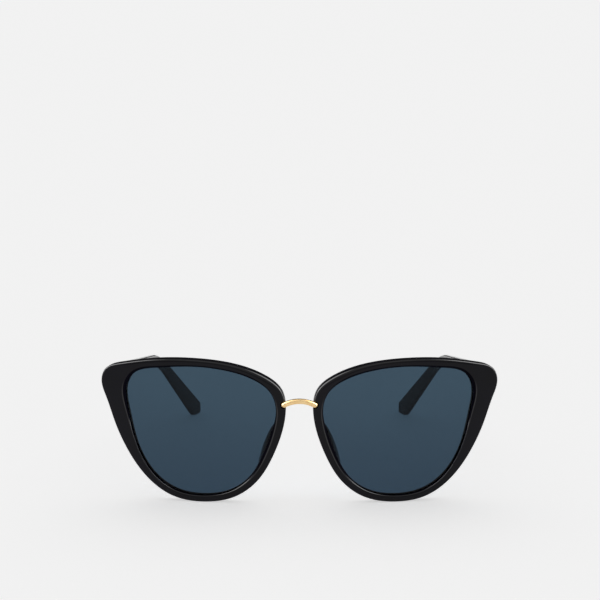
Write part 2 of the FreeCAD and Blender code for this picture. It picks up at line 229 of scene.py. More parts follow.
@dataclass(frozen=True)
class PolishedPlastic(Finish):
    """Tumbled and buffed black plastic: deep gloss, faint orange peel, worn edges, and painted highlights
    on the masked edges from a clear coat and a lighter colour.
    """

    dark: Colour = (0.0010, 0.0008, 0.0030)  # in the depth of the plastic
    light: Colour = (0.0022, 0.0019, 0.0060)  # where it is a little cloudier
    worn_and_highlight: Colour = (0.012, 0.012, 0.013)  # lighter colour on the masked edges: partly wear, partly painted highlight
    gloss: float = 0.165  # specular level
    smooth: float = 0.10  # roughness of the buffed faces
    dulled: float = 0.06  # roughness added on the worn edges
    sawn: float = 0.25  # roughness added on the side walls, which are buffed less
    coat: float = 0.8  # weight of the clear coat on the masked edges, which paints highlights there
    peel: float = 2.2 * MM  # width of the orange peel's waves
    peel_depth: float = 0.0025 * MM

    def shader(self, g: Graph, where: Socket) -> Socket:
        """The plastic's shader.

        Args:
            g: The material's graph.
            where: The object's own coordinates.

        Returns:
            The shader's output.
        """
        hairlines = g.scratches(where, 0.5 * MM, 0.02)
        # painted highlight: the edge attribute is largest where the edges are to catch highlights, and sets
        # the coat and the lighter edge colour
        rounded = g.math("MAXIMUM", g.attribute("edge"), 0.0)
        sawn = g.math("MAXIMUM", 0.0 - g.attribute("edge"), 0.0)
        wear_and_highlight = rounded * g.noise(where, 1.6 * MM, 4.0).remapped(0.42, 0.72)
        colour = g.mix_colour(g.noise(where, 14 * MM, 4.0).remapped(0.3, 0.7), self.dark, self.light)
        rough = g.noise(where, 5 * MM, 3.0).remapped(0.3, 0.7, self.smooth * 0.8, self.smooth * 1.25)
        peel = g.bump(g.noise(where, self.peel, 1.0), self.peel_depth)
        return g.principled({
            "Base Color": g.mix_colour(wear_and_highlight * 0.5, colour, self.worn_and_highlight),
            "Roughness": rough + wear_and_highlight * self.dulled + hairlines * 0.05 + sawn * self.sawn,
            "Specular IOR Level": self.gloss,
            "Coat Weight": rounded * self.coat,
            "Coat Roughness": 0.06,
            "Coat IOR": 1.5,
            "Normal": g.bump(hairlines, 0.0006 * MM, Normal=peel),
        })


@dataclass(frozen=True)
class TintedLens(Finish):
    """Blue-grey sun lens: a dyed sheet with a hard coat, which shadow rays pass as plain tint."""

    tint: Colour = (0.046, 0.083, 0.119)  # share of each colour that passes the whole lens
    deep: Colour = (0.034, 0.062, 0.094)  # the same low down: painted shade standing in for the floor's shadow behind the lens
    low: float = 4.0 * MM  # height at which the painted shade is strongest
    high: float = 50.0 * MM  # height at which the painted shade is weakest
    ior: float = 1.2  # gives the coat's low reflection

    def shader(self, g: Graph, where: Socket) -> Socket:
        """The lens's shader.

        Args:
            g: The material's graph.
            where: The object's own coordinates.

        Returns:
            The shader's output.
        """
        height = g.value("SeparateXYZ", {0: where}, 2)
        # painted shade: the tint darkens towards the bottom for the floor's shadow behind the lens, and the
        # noise adds a little random tone
        shade_and_tone = height.remapped(self.low, self.high, 1.0, 0.0) + g.noise(where, 26 * MM) * 0.16 - 0.08
        haze = g.noise(where, 7 * MM, 5.0).remapped(0.45, 0.8)
        glass = g.principled({
            "Base Color": g.mix_colour(shade_and_tone, self.tint, self.deep),
            "Roughness": 0.012 + haze * 0.02 + g.scratches(where, 0.9 * MM, 0.008) * 0.03,
            "IOR": self.ior,
            "Transmission Weight": 1.0,
            "Normal": g.bump(g.noise(where, 9 * MM, 1.0), 0.003 * MM),
        })
        through = g.node("BsdfTransparent", {"Color": (*self.tint, 1.0)})
        return g.mix_shader(g.node("LightPath").outputs["Is Shadow Ray"], glass, through.outputs[0])


@dataclass(frozen=True)
class DrawnMetal(Finish):
    """Plated or plain metal with the fine lines that drawing or turning leaves along it."""

    colour: Colour
    tarnish: Colour  # in the duller patches
    smooth: float  # roughness of the clean metal
    lines: Colour = (0.05, 1.0, 1.0)  # scale of the lines; a low number draws them out that way
    line_depth: float = 0.0015 * MM

    def shader(self, g: Graph, where: Socket) -> Socket:
        """The metal's shader.

        Args:
            g: The material's graph.
            where: The object's own coordinates.

        Returns:
            The shader's output.
        """
        patches = g.noise(where, 2.5 * MM, 4.0).remapped(0.4, 0.75)
        drawn = g.noise(g.stretched(where, self.lines), 0.12 * MM)
        return g.principled({
            "Base Color": g.mix_colour(patches, self.colour, self.tarnish),
            "Roughness": self.smooth + patches * 0.08 + drawn * 0.05,
            "Metallic": 1.0,
            "Normal": g.bump(drawn, self.line_depth),
        })


@dataclass(frozen=True)
class PaperFloor(Finish):
    """The pale matt sheet that the sunglasses stand on, lit a little from below."""

    colour: Colour = (0.90, 0.90, 0.90)
    fibre: Colour = (0.885, 0.885, 0.885)  # its slightly darker fibres
    glow: float = 0.58  # radiance of the light that comes up through it

    def shader(self, g: Graph, where: Socket) -> Socket:
        """The sheet's shader.

        Args:
            g: The material's graph.
            where: The object's own coordinates.

        Returns:
            The shader's output.
        """
        fibres = g.noise(where, 1.5 * MM, 3.0).remapped(0.35, 0.7)
        return g.principled({
            "Base Color": g.mix_colour(fibres, self.colour, self.fibre),
            "Roughness": 0.9,
            "Specular IOR Level": 0.0,
            "Emission Color": WHITE,
            "Emission Strength": self.glow,
        })


# ---------------------------------------------------------------- surfaces


def ease(share: Array) -> Array:
    """Carries 0 to 1 onto 0 to 1 with level ends: 3s^2 - 2s^3."""
    held = np.clip(share, 0.0, 1.0)
    return held * held * (3.0 - 2.0 * held)


def round_circle(count: int) -> Array:
    """Even bearings once round a circle."""
    return np.linspace(0.0, FULL_TURN, count, endpoint=False)


def lattice(rows: int, columns: int, close_rows: bool, close_columns: bool) -> Array:
    """The four corner numbers of every cell of a grid of points.

    Args:
        rows: Number of rows.
        columns: Points in each row.
        close_rows: True if the last row joins the first.
        close_columns: True if each row's last point joins its first.

    Returns:
        Quads, one row of four point numbers each.
    """
    r = np.arange(rows if close_rows else rows - 1)[:, None]
    c = np.arange(columns if close_columns else columns - 1)
    ahead = (r + 1) % rows * columns
    beside = (c + 1) % columns
    corners = np.broadcast_arrays(r * columns + c, r * columns + beside, ahead + beside, ahead + c)
    return np.stack(corners, -1).reshape(-1, 4)


def fan(ring: Array, pole: int) -> Array:
    """Triangles from a closed ring of point numbers to one pole, as quads with a repeat."""
    centre = np.full_like(ring, pole)
    return np.stack([ring, np.roll(ring, -1), centre, centre], -1)


@dataclass
class Shell:
    """A closed surface as points and cells, ready to become a mesh."""

    points: Array  # x, y, z of each point
    cells: Array  # four point numbers of each cell; a triangle repeats its last number
    edge: Array  # up to 1 on a rounded edge, where it weights the painted highlight and the wear, 0 on a buffed face, -1 on a side wall

    @classmethod
    def ring(cls, grid: Array, edge: Array | float = 0.0) -> "Shell":
        """A surface closed both ways, such as a hoop, from points as rows by columns by 3."""
        cells = lattice(*grid.shape[:2], True, True)
        return cls(grid.reshape(-1, 3), cells, np.broadcast_to(edge, grid.shape[:2]).ravel())

    @classmethod
    def capped(cls, grid: Array, edge: Array | float = 0.0) -> "Shell":
        """A tube of closed rows whose two ends are closed by a point in their middle.

        Args:
            grid: Points as rows by columns by 3; each row is a closed loop.
            edge: Edge value of each point.

        Returns:
            The shell.
        """
        rows, columns = grid.shape[:2]
        first = np.arange(columns)
        cells = np.concatenate([
            lattice(rows, columns, False, True),
            fan(first[::-1], rows * columns),
            fan(first + (rows - 1) * columns, rows * columns + 1),
        ])
        points = np.concatenate([grid.reshape(-1, 3), [grid[0].mean(0), grid[-1].mean(0)]])
        edge = np.broadcast_to(edge, grid.shape[:2])
        return cls(points, cells, np.concatenate([edge.ravel(), edge[0, :1], edge[-1, :1]]))

    def joined(self, other: "Shell") -> "Shell":
        """Both shells as one.

        Args:
            other: The other shell.

        Returns:
            The shell of both.
        """
        cells = np.concatenate([self.cells, other.cells + len(self.points)])
        points = np.concatenate([self.points, other.points])
        return Shell(points, cells, np.concatenate([self.edge, other.edge]))

    def on(self, side: Side) -> "Shell":
        """The shell on one side of the centre plane, from its shape on the left."""
        cells = self.cells[:, ::-1] if side is Side.RIGHT else self.cells
        return Shell(self.points * [side.value, 1.0, 1.0], self._leading(cells), self.edge)

    @staticmethod
    def _leading(cells: Array) -> Array:
        """Turns each cell's numbers round until a triangle's repeat stands last."""
        doubled = cells[:, 0] == cells[:, 1]
        return np.where(doubled[:, None], np.roll(cells, -2, 1), cells)

    def volume(self) -> float:
        """The volume that the surface encloses, negative if it is inside out.

        It is the sum over triangles of the triple product of their corners, over six.

        Returns:
            The volume.
        """
        a, b, c, d = (self.points[self.cells[:, k]] for k in range(4))
        triples = (a * np.cross(b, c)).sum() + (a * np.cross(c, d)).sum()
        return float(triples / 6.0)

    def build(self, name: str) -> bpy.types.Object:
        """The shell as a smooth-shaded object at the origin.

        Args:
            name: The object's name.

        Returns:
            The object, linked to the scene, with the point attribute "edge".
        """
        cells = self.cells if self.volume() > 0 else self._leading(self.cells[:, ::-1])
        three = cells[:, 2] == cells[:, 3]
        keep = np.ones(cells.shape, bool)
        keep[three, 3] = False
        corners = cells[keep].astype(np.int32)
        starts = np.cumsum(np.where(three, 3, 4)) - np.where(three, 3, 4)
        mesh = bpy.data.meshes.new(name)
        mesh.vertices.add(len(self.points))
        mesh.vertices.foreach_set("co", self.points.astype(np.float32).ravel())
        mesh.loops.add(len(corners))
        mesh.loops.foreach_set("vertex_index", corners)
        mesh.polygons.add(len(starts))
        mesh.polygons.foreach_set("loop_start", starts.astype(np.int32))
        mesh.polygons.foreach_set("use_smooth", np.ones(len(starts), bool))
        mesh.update(calc_edges=True)
        mesh.validate()
        wear_and_highlight = mesh.attributes.new("edge", "FLOAT", "POINT")
        wear_and_highlight.data.foreach_set("value", self.edge.astype(np.float32))
        made = bpy.data.objects.new(name, mesh)
        bpy.context.scene.collection.objects.link(made)
        return made


def finish_piece(piece: bpy.types.Object, body: str, slot: str, material: Material, *nodes: str) -> None:
    """Gives a new piece its material and body, and hides the CAD nodes that it stands for.

    Args:
        piece: The new object.
        body: The body that it rides on.
        slot: The record's material slot; not used.
        material: Its material.
        nodes: The CAD nodes that it replaces.
    """
    piece.data.materials.append(material)
    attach(piece, body)
    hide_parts(*nodes)
    log.info("%s: %d points, on %s, for %s", piece.name, len(piece.data.vertices), body, ", ".join(nodes))


# ---------------------------------------------------------------- the curved front


@dataclass(frozen=True)
class FaceSheet:
    """The cylinder that the front is bent to.

    A flat place (u, z) on it is radius times the tangent of the bearing, and height.
    """

    radius: float  # of the front face
    front: float  # Y of the cylinder's foremost line

    def flat(self, x: Array) -> Array:
        """The u of a place on the front face at distance x from the centre plane."""
        return self.radius * x / np.sqrt(self.radius ** 2 - x * x)

    def laid(self, flat: Array, depth: Array | float) -> Array:
        """Points at a depth behind the front face.

        The bearing is atan(u / radius); x is (radius - depth) times its sine, and y falls
        back from the front by radius less (radius - depth) times its cosine.

        Args:
            flat: Places as (..., 2) of u and z.
            depth: Depth of each place.

        Returns:
            Points as (..., 3).
        """
        bearing = np.arctan(flat[..., 0] / self.radius)
        reach = self.radius - depth
        y = self.front + self.radius - reach * np.cos(bearing)
        return np.stack(np.broadcast_arrays(reach * np.sin(bearing), y, flat[..., 1]), -1)

    def back_at(self, x: Array, depth: float) -> Array:
        """Y of the surface at a depth, at distance x from the centre plane."""
        return self.front + self.radius - np.sqrt((self.radius - depth) ** 2 - x * x)


class Outline:
    """A closed smooth line on the face sheet through a few chosen points."""

    FINE = 6000  # places worked out along the line

    def __init__(self, points: Sequence[Place], sheet: FaceSheet) -> None:
        """Fits the line.

        It is the closed cubic spline whose first and second slopes run on over every
        point, with the distance between neighbouring points as its parameter.

        Args:
            points: (distance from the centre plane, height) in millimetres on the face.
            sheet: The sheet that they lie on.
        """
        given = np.array(points) * MM
        knots = np.stack([sheet.flat(given[:, 0]), given[:, 1]], -1)
        steps = np.roll(knots, -1, 0) - knots
        spans = np.linalg.norm(steps, axis=1)
        before = np.roll(spans, 1)
        here = np.arange(len(knots))
        system = np.zeros((len(knots), len(knots)))
        system[here, here] = 2.0 * (before + spans)
        system[here, here - 1] += before
        system[here, (here + 1) % len(knots)] += spans
        slope = steps / spans[:, None]
        bend = np.linalg.solve(system, 6.0 * (slope - np.roll(slope, 1, 0)))
        where = np.linspace(0.0, spans.sum(), self.FINE, endpoint=False)
        starts = np.cumsum(spans) - spans
        cell = np.searchsorted(starts, where, side="right") - 1
        after = (cell + 1) % len(knots)
        s = (where - starts[cell])[:, None]
        h = spans[cell][:, None]
        rest = h - s
        line = (bend[cell] * rest ** 3 + bend[after] * s ** 3) / (6.0 * h)
        line += (knots[cell] / h - bend[cell] * h / 6.0) * rest
        self.line = line + (knots[after] / h - bend[after] * h / 6.0) * s

    def bearings(self, centre: Array) -> Array:
        """Bearing of each fine point seen from centre, unrolled so that it only falls."""
        away = self.line - centre
        return np.unwrap(np.arctan2(away[:, 1], away[:, 0]))

    def at_bearings(self, centre: Array, bearings: Array) -> Array:
        """The points of the line that are seen from centre at given bearings.

        Args:
            centre: A place inside the line.
            bearings: Bearings in radians.

        Returns:
            One (u, z) for each bearing.
        """
        turned = -self.bearings(centre)
        wanted = np.mod(-bearings - turned[0], FULL_TURN) + turned[0]
        closed = np.append(turned, turned[0] + FULL_TURN)
        loop = np.concatenate([self.line, self.line[:1]])
        return np.stack([np.interp(wanted, closed, column) for column in loop.T], -1)


def outward(loop: Array) -> Array:
    """Unit normals of a closed loop of flat places.

    Args:
        loop: The places, as (n, 2).

    Returns:
        The normals, pointing away from the loop's middle.
    """
    run = np.roll(loop, -1, 0) - np.roll(loop, 1, 0)
    normal = np.stack([-run[:, 1], run[:, 0]], -1)
    normal /= np.linalg.norm(normal, axis=1, keepdims=True)
    return normal * np.sign(((loop - loop.mean(0)) * normal).sum())


def soft_corner(first: Array, corner: Array, last: Array, count: int) -> Array:
    """Rows from first to last that a corner pulls out: (1-t)^2 first + 2t(1-t) corner + t^2 last."""
    t = np.linspace(0.0, 1.0, count)[:, None, None]
    return (1 - t) ** 2 * first + 2 * t * (1 - t) * corner + t ** 2 * last


@dataclass
class BridgeWire:
    """The arched gold wire that joins the rims, with round ends and a stud behind each."""

    radius: float = 1.0 * MM
    half_span: float = 5.6 * MM  # from the centre plane to each end's centre
    end_height: float = 37.2 * MM  # of those centres
    rise: float = 1.4 * MM  # how much higher the middle is
    stand_off: float = 0.1 * MM  # from the front's foremost line back to the axis
    stud_radius: float = 0.5 * MM
    stud_length: float = 2.6 * MM
    around: int = 64  # points round the wire
    stud_around: int = 24  # points round each stud
    along: int = 120  # rows along the wire

    @property
    def arch(self) -> float:
        """Radius of the arch: half span squared plus rise squared, over twice the rise."""
        return (self.half_span ** 2 + self.rise ** 2) / (2.0 * self.rise)

    @property
    def arch_height(self) -> float:
        """Height of the arch's centre."""
        return self.end_height + self.rise - self.arch

    def axis_distance(self, points: Array) -> Array:
        """Distance of points from the wire's axis in the plane that the arch stands in.

        Args:
            points: Points as (..., 3).

        Returns:
            The distances, to the arch between its ends and to the nearer end past them.
        """
        x = np.abs(points[..., 0])
        up = points[..., 2] - self.arch_height
        past = x / np.maximum(up, 1e-9) > self.half_span / (self.end_height - self.arch_height)
        to_end = np.hypot(x - self.half_span, points[..., 2] - self.end_height)
        return np.where(past, to_end, np.abs(np.hypot(x, up) - self.arch))

    def wire(self, axis_y: float) -> Shell:
        """The wire: a circle carried along the arch, shrinking to a half ball past each end.

        At distance d past an end the circle's radius is sqrt(radius^2 - d^2).

        Args:
            axis_y: Y of the axis.

        Returns:
            The closed surface.
        """
        half_turn = math.asin(self.half_span / self.arch)
        end = half_turn * self.arch
        past = np.append(0.9995, np.sin(np.linspace(QUARTER, 0.0, 15)[1:-1])) * self.radius
        run = np.linspace(-half_turn, half_turn, self.along) * self.arch
        places = np.concatenate([-end - past, run, end + past[::-1]])[:, None]
        over = np.maximum(np.abs(places) - end, 0.0)
        thick = np.sqrt(np.maximum(self.radius ** 2 - over ** 2, 0.0))
        turn = np.clip(places / self.arch, -half_turn, half_turn)
        around = round_circle(self.around)
        out = thick * np.cos(around) + self.arch
        x = out * np.sin(turn) + np.sign(places) * over * np.cos(turn)
        z = self.arch_height + out * np.cos(turn) - np.abs(over * np.sin(turn))
        return Shell.capped(np.stack([x, axis_y + thick * np.sin(around), z], -1))

    def stud(self, axis_y: float) -> Shell:
        """The left end's stud: a circle carried straight back, with a small end bevel.

        Args:
            axis_y: Y of the wire's axis, where it starts.

        Returns:
            The closed surface.
        """
        reach = np.array([0.0, 0.9, 0.97, 1.0])[:, None] * self.stud_length
        thick = np.array([1.0, 1.0, 0.95, 0.8])[:, None] * self.stud_radius
        around = round_circle(self.stud_around)
        x = self.half_span + thick * np.cos(around)
        z = self.end_height + thick * np.sin(around)
        return Shell.capped(np.stack(np.broadcast_arrays(x, axis_y + reach, z), -1))

    def build(self, sheet: FaceSheet, gold: Material) -> None:
        """Makes and dresses the bridge.

        Args:
            sheet: The front's sheet.
            gold: The gold finish.
        """
        axis_y = sheet.front + self.stand_off
        shell = self.wire(axis_y)
        for side in Side:
            shell = shell.joined(self.stud(axis_y).on(side))
        finish_piece(shell.build("bridge_wire"), FRONT_BODY, "bridge_gold", gold, "bridge")


@dataclass
class Rim:
    """One rim: a hoop of plastic cut from the face sheet, bevelled round its opening.

    Its three lines on the face are given in millimetres from the nose over the top: the
    outer one, the one where the flat face ends at the opening, and the opening's wall.
    """

    outline: tuple[Place, ...] = (
        (5.0, 36.5), (6.3, 42.0), (12.5, 47.5), (24.0, 51.7), (38.0, 53.4), (53.0, 53.1),
        (66.0, 51.1), (71.5, 48.7), (72.9, 45.0), (71.2, 38.0), (68.2, 29.0), (63.9, 19.3),
        (56.4, 8.6), (46.5, 1.7), (35.0, 0.0), (24.0, 2.1), (15.6, 8.2), (9.6, 18.0), (5.9, 28.5),
    )
    opening: tuple[Place, ...] = (
        (8.1, 35.0), (10.1, 41.7), (16.1, 46.9), (26.3, 50.3), (39.5, 51.6), (52.6, 50.9),
        (61.4, 48.6), (64.7, 43.6), (63.7, 33.5), (59.8, 20.4), (54.3, 10.4), (46.1, 4.1),
        (35.0, 2.35), (25.1, 4.3), (17.1, 10.2), (11.9, 19.0), (9.1, 27.3),
    )
    wall: tuple[Place, ...] = (
        (8.6, 35.0), (10.5, 41.4), (16.5, 46.2), (26.5, 49.5), (39.5, 50.8), (52.5, 50.0),
        (60.5, 47.8), (63.5, 43.5), (63.1, 33.5), (59.9, 20.3), (54.3, 10.4), (46.0, 4.3),
        (35.0, 2.5), (25.2, 4.5), (17.6, 10.6), (13.0, 19.4), (10.0, 27.5),
    )
    hub: Place = (36.0 * MM, 28.0 * MM)  # the place that sections are seen from
    stations: int = 840  # sections round the hoop
    depth: float = 4.0 * MM  # from front to back
    front_round: float = 0.6 * MM  # radius of the outer front edge
    shoulder_round: float = 0.7 * MM  # added to it on the shoulder by the nose
    shoulder: Place = (14.0 * MM, 47.0 * MM)
    shoulder_reach: float = 10.0 * MM  # how far round the shoulder the wider edge fades
    back_round: float = 0.35 * MM  # radius of the back edges
    crown: float = 0.10 * MM  # how far the face's middle stands proud of its edges
    bevel_depth: float = 0.55 * MM  # of the bevel round the opening
    edge_round: float = 0.24 * MM  # between face and bevel
    lens_front: float = 1.1 * MM  # depth of the groove's front side
    lens_back: float = 2.9 * MM  # depth of its back side
    groove: float = 0.9 * MM  # how far it is cut into the wall
    crease: float = 0.02 * MM  # spacing of the rails that keep the groove's corners crisp
    liner_proud: float = 0.015 * MM  # how far the liner stands off the plastic
    liner_sunk: float = 0.06 * MM  # how far its back is sunk into it
    recess: float = 1.26 * MM  # clear radius round the bridge wire's axis
    lip: float = 0.16 * MM  # width of the soft lip round that recess

    def section_bearings(self, sheet: FaceSheet, bridge: BridgeWire) -> Array:
        """Bearings of the sections, even along the outer line but closer beside the bridge.

        Args:
            sheet: The front's sheet.
            bridge: The bridge wire.

        Returns:
            One bearing for each section.
        """
        outline = Outline(self.outline, sheet)
        line = outline.line
        steps = np.linalg.norm(np.roll(line, -1, 0) - line, axis=1)
        marks = np.append(0.0, np.cumsum(steps))
        away = np.abs(line[:, 1] - bridge.end_height) / (2.0 * bridge.radius)
        beside = line[:, 0] < self.hub[0] * 0.5
        share = np.append(0.0, np.cumsum((1.0 + 4.0 * beside * np.exp(-away ** 2)) * np.diff(marks)))
        wanted = np.linspace(0.0, share[-1], self.stations, endpoint=False)
        middle = 0.5 * (marks[1:] + marks[:-1])
        return np.interp(np.interp(wanted, share, marks), middle, outline.bearings(self.hub))

    def lines(self, sheet: FaceSheet, bearings: Array) -> list[Array]:
        """The flat places of the outer line, the opening's edge and its wall at the bearings."""
        drawn = (self.outline, self.opening, self.wall)
        return [Outline(points, sheet).at_bearings(self.hub, bearings) for points in drawn]

    def rails(self, sheet: FaceSheet, bearings: Array) -> Array:
        """The lines that the hoop's section is carried along.

        They run from the outer wall's back, over the face, down the bevel and the wall with
        its groove, and along the back face home again.

        Args:
            sheet: The front's sheet.
            bearings: The sections' bearings.

        Returns:
            Rails by sections by 4: the flat place, the depth and the edge value.
        """
        outer, mouth, wall = self.lines(sheet, bearings)
        out_outer, out_wall = outward(outer), outward(wall)
        back = self.back_round
        made: list[Array] = []

        def add(flat: Array, depth: Array | float, edge: Array | float = 0.0) -> None:
            """Takes in one or more rails."""
            columns = np.broadcast_arrays(flat[..., 0], flat[..., 1], depth, edge, np.zeros((1, 1)))
            made.append(np.stack(columns[:4], -1))

        def add_round(
            line: Array, inward: Array, radius: Array | float, rise: float, face: float,
            turns: Array, glint: Array | float,
        ) -> None:
            """Takes in a quarter round from a wall to a face at a depth, and lights it by glint.

            At each turn t it stands radius (1 - cos t) inwards, and radius (1 - sin t) off the face.
            """
            inset = (radius * (1.0 - np.cos(turns)))[..., None]
            depth = face + rise * radius * (1.0 - np.sin(turns))
            add(line + inward * inset, depth, glint * np.sin(2.0 * turns))

        def add_face(start: Array, stop: Array, count: int, crown: float, level: float) -> None:
            """Takes in the rails of a face after its first, with a depth of crown at both edges."""
            share = np.linspace(0.0, 1.0, count)[1:, None]
            add(start + (stop - start) * share[..., None], level + crown * (2.0 * share - 1.0) ** 2)

        away = np.linalg.norm(outer - self.shoulder, axis=1)
        wider = self.shoulder_round * np.exp(-((away / self.shoulder_reach) ** 2))
        front = self.front_round + wider
        share = np.linspace(0.0, 1.0, 9)[:, None]
        add(outer, (self.depth - back) * (1.0 - share) + (self.crown + front) * share, -1.0)
        # painted highlight weight on the outer front round: full where the edge faces up, nothing where it
        # faces down, and less on the nose shoulder
        skyward = ease((out_outer[:, 1] + 0.05) / 0.35) * (1.0 - 0.6 * wider / self.shoulder_round)
        turns = np.linspace(0.0, QUARTER, 12)[1:, None]
        add_round(outer, -out_outer, front, 1.0, self.crown, turns, skyward)
        stop = mouth + out_wall * self.edge_round
        add_face(outer - out_outer * front[:, None], stop, 22, self.crown, 0.0)

        places = ((stop, self.crown), (mouth, self.crown), (wall, self.bevel_depth))
        face_end, corner, foot = (np.insert(flat, 2, depth, axis=1) for flat, depth in places)
        fall = np.linalg.norm(foot - corner, axis=1, keepdims=True)
        down = (foot - corner) * np.minimum(self.edge_round / fall, 0.45)
        share = np.linspace(0.0, 1.0, 4)[1:-1, None, None]
        # painted highlight weight on the round at the opening's edge: full where that edge faces up, fading
        # out where it faces down
        upturned = ease((0.5 - out_wall[:, 1]) / 0.6) * 0.8
        bevel = corner + down + (foot - corner - 2.0 * down) * share
        lower = soft_corner(foot - down, foot, foot + [0.0, 0.0, self.edge_round], 5)
        upper = soft_corner(face_end, corner, corner + down, 6)[1:]
        for rows, edge in ((upper, upturned), (bevel, 0.0), (lower, 0.0)):
            add(rows[..., :2], rows[..., 2], edge)

        near, far, hair, deep = self.lens_front, self.lens_back, self.crease, self.groove
        cut = np.array([
            (0.0, near - hair), (0.0, near), (hair, near), (deep - hair, near), (deep, near),
            (deep, near + hair), (deep, far - hair), (deep, far), (deep - hair, far), (hair, far),
            (0.0, far), (0.0, far + hair), (0.0, self.depth - back),
        ])
        add(wall + out_wall * cut[:, 0, None, None], cut[:, 1, None])

        turns = np.linspace(0.0, QUARTER, 7)[:, None]
        add_round(wall, out_wall, back, -1.0, self.depth, turns[1:], 1.0)
        add_face(wall + out_wall * back, outer - out_outer * back, 10, 0.0, self.depth)
        add_round(outer, -out_outer, back, -1.0, self.depth, turns[-2:0:-1], 1.0)
        return np.concatenate(made)

    def liner(self, sheet: FaceSheet, bearings: Array) -> Shell:
        """The matt strip that covers the bevel and the wall in front of the lens, and keeps that band
        darker than the face.

        It is a thin hoop: a front line that stands a hair off the bevel and the wall, and a
        back line sunk into the plastic.

        Args:
            sheet: The front's sheet.
            bearings: The sections' bearings.

        Returns:
            The closed surface.
        """
        _, mouth, wall = self.lines(sheet, bearings)
        out = outward(wall)
        wide = np.linalg.norm(wall - mouth, axis=1)
        start = np.minimum(self.edge_round / np.maximum(wide, self.edge_round), 0.6)
        hair, last = self.liner_proud, self.lens_front - self.liner_proud

        def along_bevel(shares: Array, shift: float) -> Array:
            """Rows at shares of the way down the bevel, shifted outwards and back alike."""
            along = start + (1.0 - start) * shares[:, None]
            depth = self.crown + along * (self.bevel_depth - self.crown) + shift
            return sheet.laid(mouth + (wall - mouth) * along[..., None] + out * shift, depth)

        down_wall = np.linspace(self.bevel_depth + 0.1 * MM, last, 4)[:, None]
        return Shell.ring(np.concatenate([
            along_bevel(np.linspace(0.0, 1.0, 8), -hair),
            sheet.laid(wall - out * hair, down_wall),
            sheet.laid(wall + out * self.liner_sunk, np.array([[last]])),
            along_bevel(np.linspace(1.0, 0.0, 4), self.liner_sunk),
        ]))

    def recessed(self, points: Array, sheet: FaceSheet, bridge: BridgeWire) -> Array:
        """Presses the seat of the bridge wire's end into the front of the hoop.

        Within the clear radius of the wire's axis no point stands before the circle of
        that radius, and a soft lip leads from the face down to it.

        Args:
            points: The hoop's points.
            sheet: The front's sheet.
            bridge: The bridge wire.

        Returns:
            The points with the seat pressed in.
        """
        axis_y = sheet.front + bridge.stand_off
        y = points[..., 1]
        away = bridge.axis_distance(points)
        seat = axis_y + np.sqrt(np.maximum(self.recess ** 2 - away ** 2, 0.0))
        lip = self.lip * (1.0 - ease((away - self.recess) / self.lip))
        level = np.maximum(y, np.where(away < self.recess, seat + self.lip, y + lip))
        pressed = (y < axis_y + self.depth * 0.6) & (away < self.recess + self.lip)
        return np.stack([points[..., 0], np.where(pressed, level, y), points[..., 2]], -1)

    def build(
        self, side: Side, sheet: FaceSheet, bridge: BridgeWire, plastic: Material, cut: Material
    ) -> None:
        """Makes and dresses one rim.

        Args:
            side: Which side.
            sheet: The front's sheet.
            bridge: The bridge wire that it carries.
            plastic: The plastic finish.
            cut: The finish of the matt strip round the opening, which keeps that band dark.
        """
        bearings = self.section_bearings(sheet, bridge)
        rails = self.rails(sheet, bearings)
        points = self.recessed(sheet.laid(rails[..., :2], rails[..., 2]), sheet, bridge)
        hoop = Shell.ring(points, rails[..., 3])
        for name, shell, finish in (("shell", hoop, plastic), ("liner", self.liner(sheet, bearings), cut)):
            piece = shell.on(side).build(f"rim_{name}_{side.tag}")
            finish_piece(piece, FRONT_BODY, "rim_plastic", finish, f"rim_{side.tag}")


@dataclass
class Lens:
    """One lens: a curved sheet that fills the groove, less a little play."""

    play: float = 0.05 * MM  # between the lens's edge and the groove's floor
    face_play: float = 0.005 * MM  # between its faces and the groove's sides
    edge_round: float = 0.12 * MM  # size of the edge's small bevels
    rings: int = 34  # from the middle to the edge
    stations: int = 420  # points round each ring

    def build(self, side: Side, rim: Rim, sheet: FaceSheet, tint: Material) -> None:
        """Makes and dresses one lens.

        Each ring is the edge line drawn in towards the hub by its share of the way. The
        rings run out over the front, down the edge and in over the back.

        Args:
            side: Which side.
            rim: The rim that holds it.
            sheet: The front's sheet.
            tint: The lens finish.
        """
        wall = rim.lines(sheet, -round_circle(self.stations))[2]
        border = wall + outward(wall) * (rim.groove - self.play)
        shares = np.linspace(0.01, 1.0, self.rings) * (1.0 - self.edge_round / (20 * MM))
        near, far = rim.lens_front + self.face_play, rim.lens_back - self.face_play
        share = np.concatenate([shares, [1.0, 1.0], shares[::-1]])[:, None, None]
        edges = [near + self.edge_round, far - self.edge_round]
        depth = np.concatenate([np.full(self.rings, near), edges, np.full(self.rings, far)])
        shell = Shell.capped(sheet.laid(rim.hub + (border - rim.hub) * share, depth[:, None])).on(side)
        piece = shell.build(f"lens_pane_{side.tag}")
        finish_piece(piece, FRONT_BODY, "lens_tint", tint, f"lens_{side.tag}")


